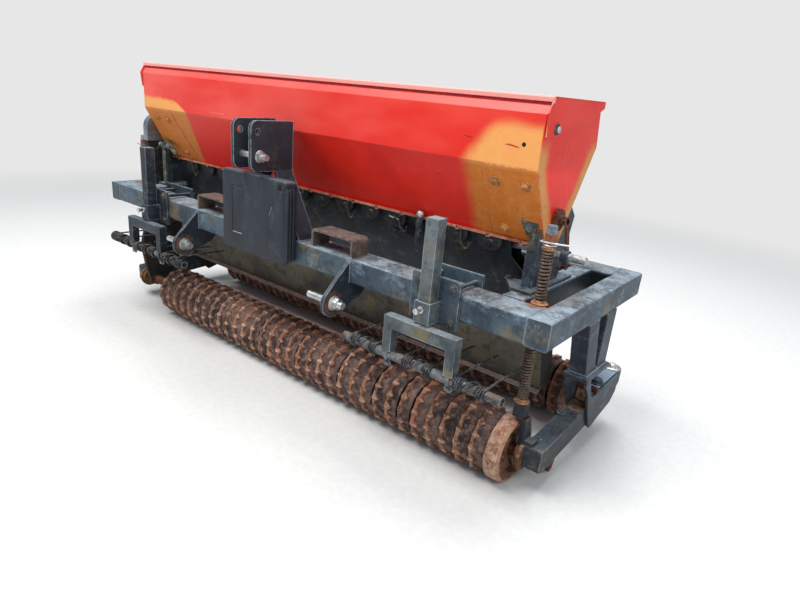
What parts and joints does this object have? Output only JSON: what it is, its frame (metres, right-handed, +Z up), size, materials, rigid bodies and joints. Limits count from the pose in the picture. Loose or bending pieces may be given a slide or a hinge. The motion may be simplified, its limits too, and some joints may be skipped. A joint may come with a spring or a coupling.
{
  "type": "seed drill",
  "caption": "tractor-mounted grass seed drill: long lidded hopper on a beam frame, two spring-loaded notched ring rollers and two spring tine units",
  "frame": {"origin": "middle of the machine's box, on the ground under it", "axes": "X along the beams with +X the side the two lower link pins' nuts face, +Y to the rear away from the tractor, Z up"},
  "size_m": [2.1446, 0.812, 1.0565],
  "materials": {
    "frame_paint": "satin paint, worn and dusty",
    "hopper_paint": "faded red paint",
    "rusty_iron": "brown rust all over",
    "rusty_steel": "thin rust",
    "zinc_steel": "dull zinc plate",
    "galvanised": "dull galvanised sheet",
    "charcoal_plastic": "moulded, satin"
  },
  "bodies": {
    "frame": {"beam_front": "frame_paint", "beam_rear": "frame_paint", "side_beam_left": "frame_paint", "side_beam_right": "frame_paint", "inner_rails": "frame_paint", "leg_left": "frame_paint", "leg_right": "frame_paint", "arm_front_left": "frame_paint", "arm_front_right": "frame_paint", "arm_rear_left": "frame_paint", "arm_rear_right": "frame_paint", "pivot_bolts": "zinc_steel", "bearings": "rusty_iron", "spring_rods": "zinc_steel", "spring_coils": "rusty_steel", "mast": "frame_paint", "top_link_pin": "zinc_steel", "lower_lugs": "frame_paint", "lower_pins": "zinc_steel", "strap_loops": "rusty_steel", "document_box": "charcoal_plastic", "hopper_shell": "hopper_paint", "hopper_ends": "hopper_paint", "hopper_patches": "hopper_paint", "hopper_mounts": "frame_paint", "seed_shield": "frame_paint", "ground_sheets": "frame_paint", "feed_shafts": "zinc_steel", "feed_lever": "zinc_steel", "chain_case": "rusty_steel", "chain_cover": "galvanised", "tine_clamp_left": "frame_paint", "tine_clamp_right": "frame_paint"},
    "roller_front": {"roller_front": "rusty_iron", "axle_front": "zinc_steel"},
    "roller_rear": {"roller_rear": "rusty_iron", "axle_rear": "zinc_steel"},
    "lid": {"hopper_lid": "hopper_paint"},
    "tines_left": {"tine_post_left": "frame_paint", "tine_pipe_left": "frame_paint", "tines_left": "rusty_steel"},
    "tines_right": {"tine_post_right": "frame_paint", "tine_pipe_right": "frame_paint", "tines_right": "rusty_steel"}
  },
  "joints": [
    {"name": "roller_front_spin", "type": "hinge", "parent": "frame", "child": "roller_front", "pos_m": [0, -0.179, 0.102], "axis": [1, 0, 0], "continuous": true},
    {"name": "roller_rear_spin", "type": "hinge", "parent": "frame", "child": "roller_rear", "pos_m": [0, 0.301, 0.102], "axis": [1, 0, 0], "continuous": true},
    {"name": "lid_hinge", "type": "hinge", "parent": "frame", "child": "lid", "pos_m": [0, -0.152, 0.982], "axis": [1, 0, 0], "range_deg": [0, 95]},
    {"name": "tines_left_slide", "type": "slide", "parent": "frame", "child": "tines_left", "axis": [0, 0, 1], "range_m": [-0.1, 0]},
    {"name": "tines_right_slide", "type": "slide", "parent": "frame", "child": "tines_right", "axis": [0, 0, 1], "range_m": [-0.1, 0]}
  ]
}
